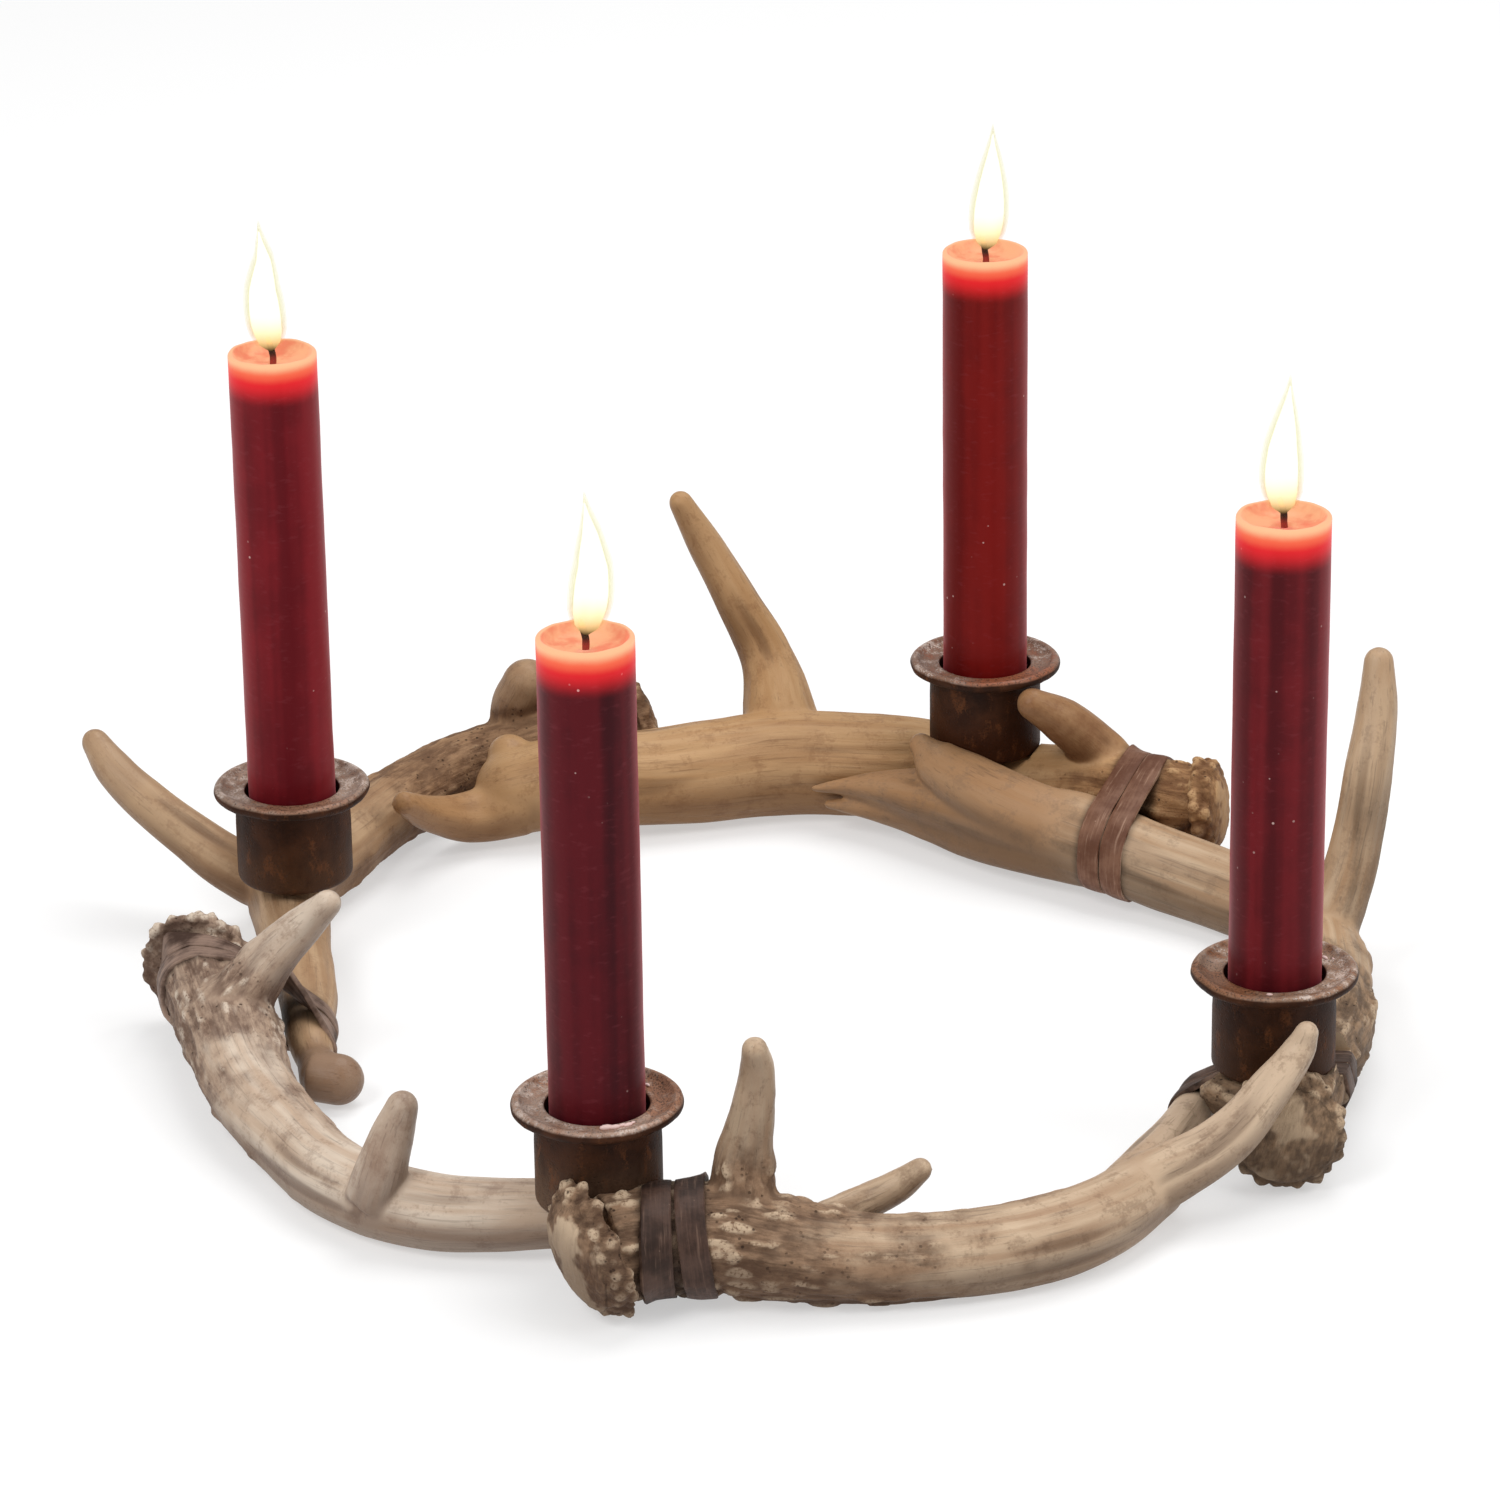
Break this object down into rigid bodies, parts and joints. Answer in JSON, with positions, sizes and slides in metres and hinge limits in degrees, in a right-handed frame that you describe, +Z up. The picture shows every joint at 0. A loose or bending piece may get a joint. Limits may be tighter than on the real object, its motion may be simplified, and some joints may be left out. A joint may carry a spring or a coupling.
{
  "type": "antler candle ring",
  "caption": "Tabletop ring of shed deer antlers lashed with leather straps, with iron candle cups let into the antlers and lit dinner candles standing in them.",
  "frame": {"origin": "middle of the ring's outline, on the table it rests on", "axes": "+Z up, along the candles; the front of the ring, with the nearest candle, is towards -Y, and +X is to the right as seen from there"},
  "size_m": [0.3415, 0.3475, 0.1987],
  "materials": {
    "antler_bone": "satin",
    "rusted_iron": "matte",
    "screw_steel": "satin",
    "brown_leather": "satin",
    "red_wax": "satin",
    "charred_cotton": "matte",
    "flame": "matte"
  },
  "bodies": {
    "root": {"antler_front": "antler_bone", "antler_left": "antler_bone", "antler_back_left": "antler_bone", "antler_back": "antler_bone", "antler_right": "antler_bone", "strap_front": "brown_leather", "strap_left": "brown_leather", "strap_back_left": "brown_leather", "strap_back": "brown_leather", "strap_right": "brown_leather", "cup_front": "rusted_iron", "cup_left": "rusted_iron", "cup_back": "rusted_iron", "cup_right": "rusted_iron", "cup_screw_front": "screw_steel", "cup_screw_left": "screw_steel", "cup_screw_back": "screw_steel", "cup_screw_right": "screw_steel", "candle_front": "red_wax", "candle_left": "red_wax", "candle_back": "red_wax", "candle_right": "red_wax", "wick_front": "charred_cotton", "wick_left": "charred_cotton", "wick_back": "charred_cotton", "wick_right": "charred_cotton", "flame_front": "flame", "flame_left": "flame", "flame_back": "flame", "flame_right": "flame"}
  },
  "joints": []
}
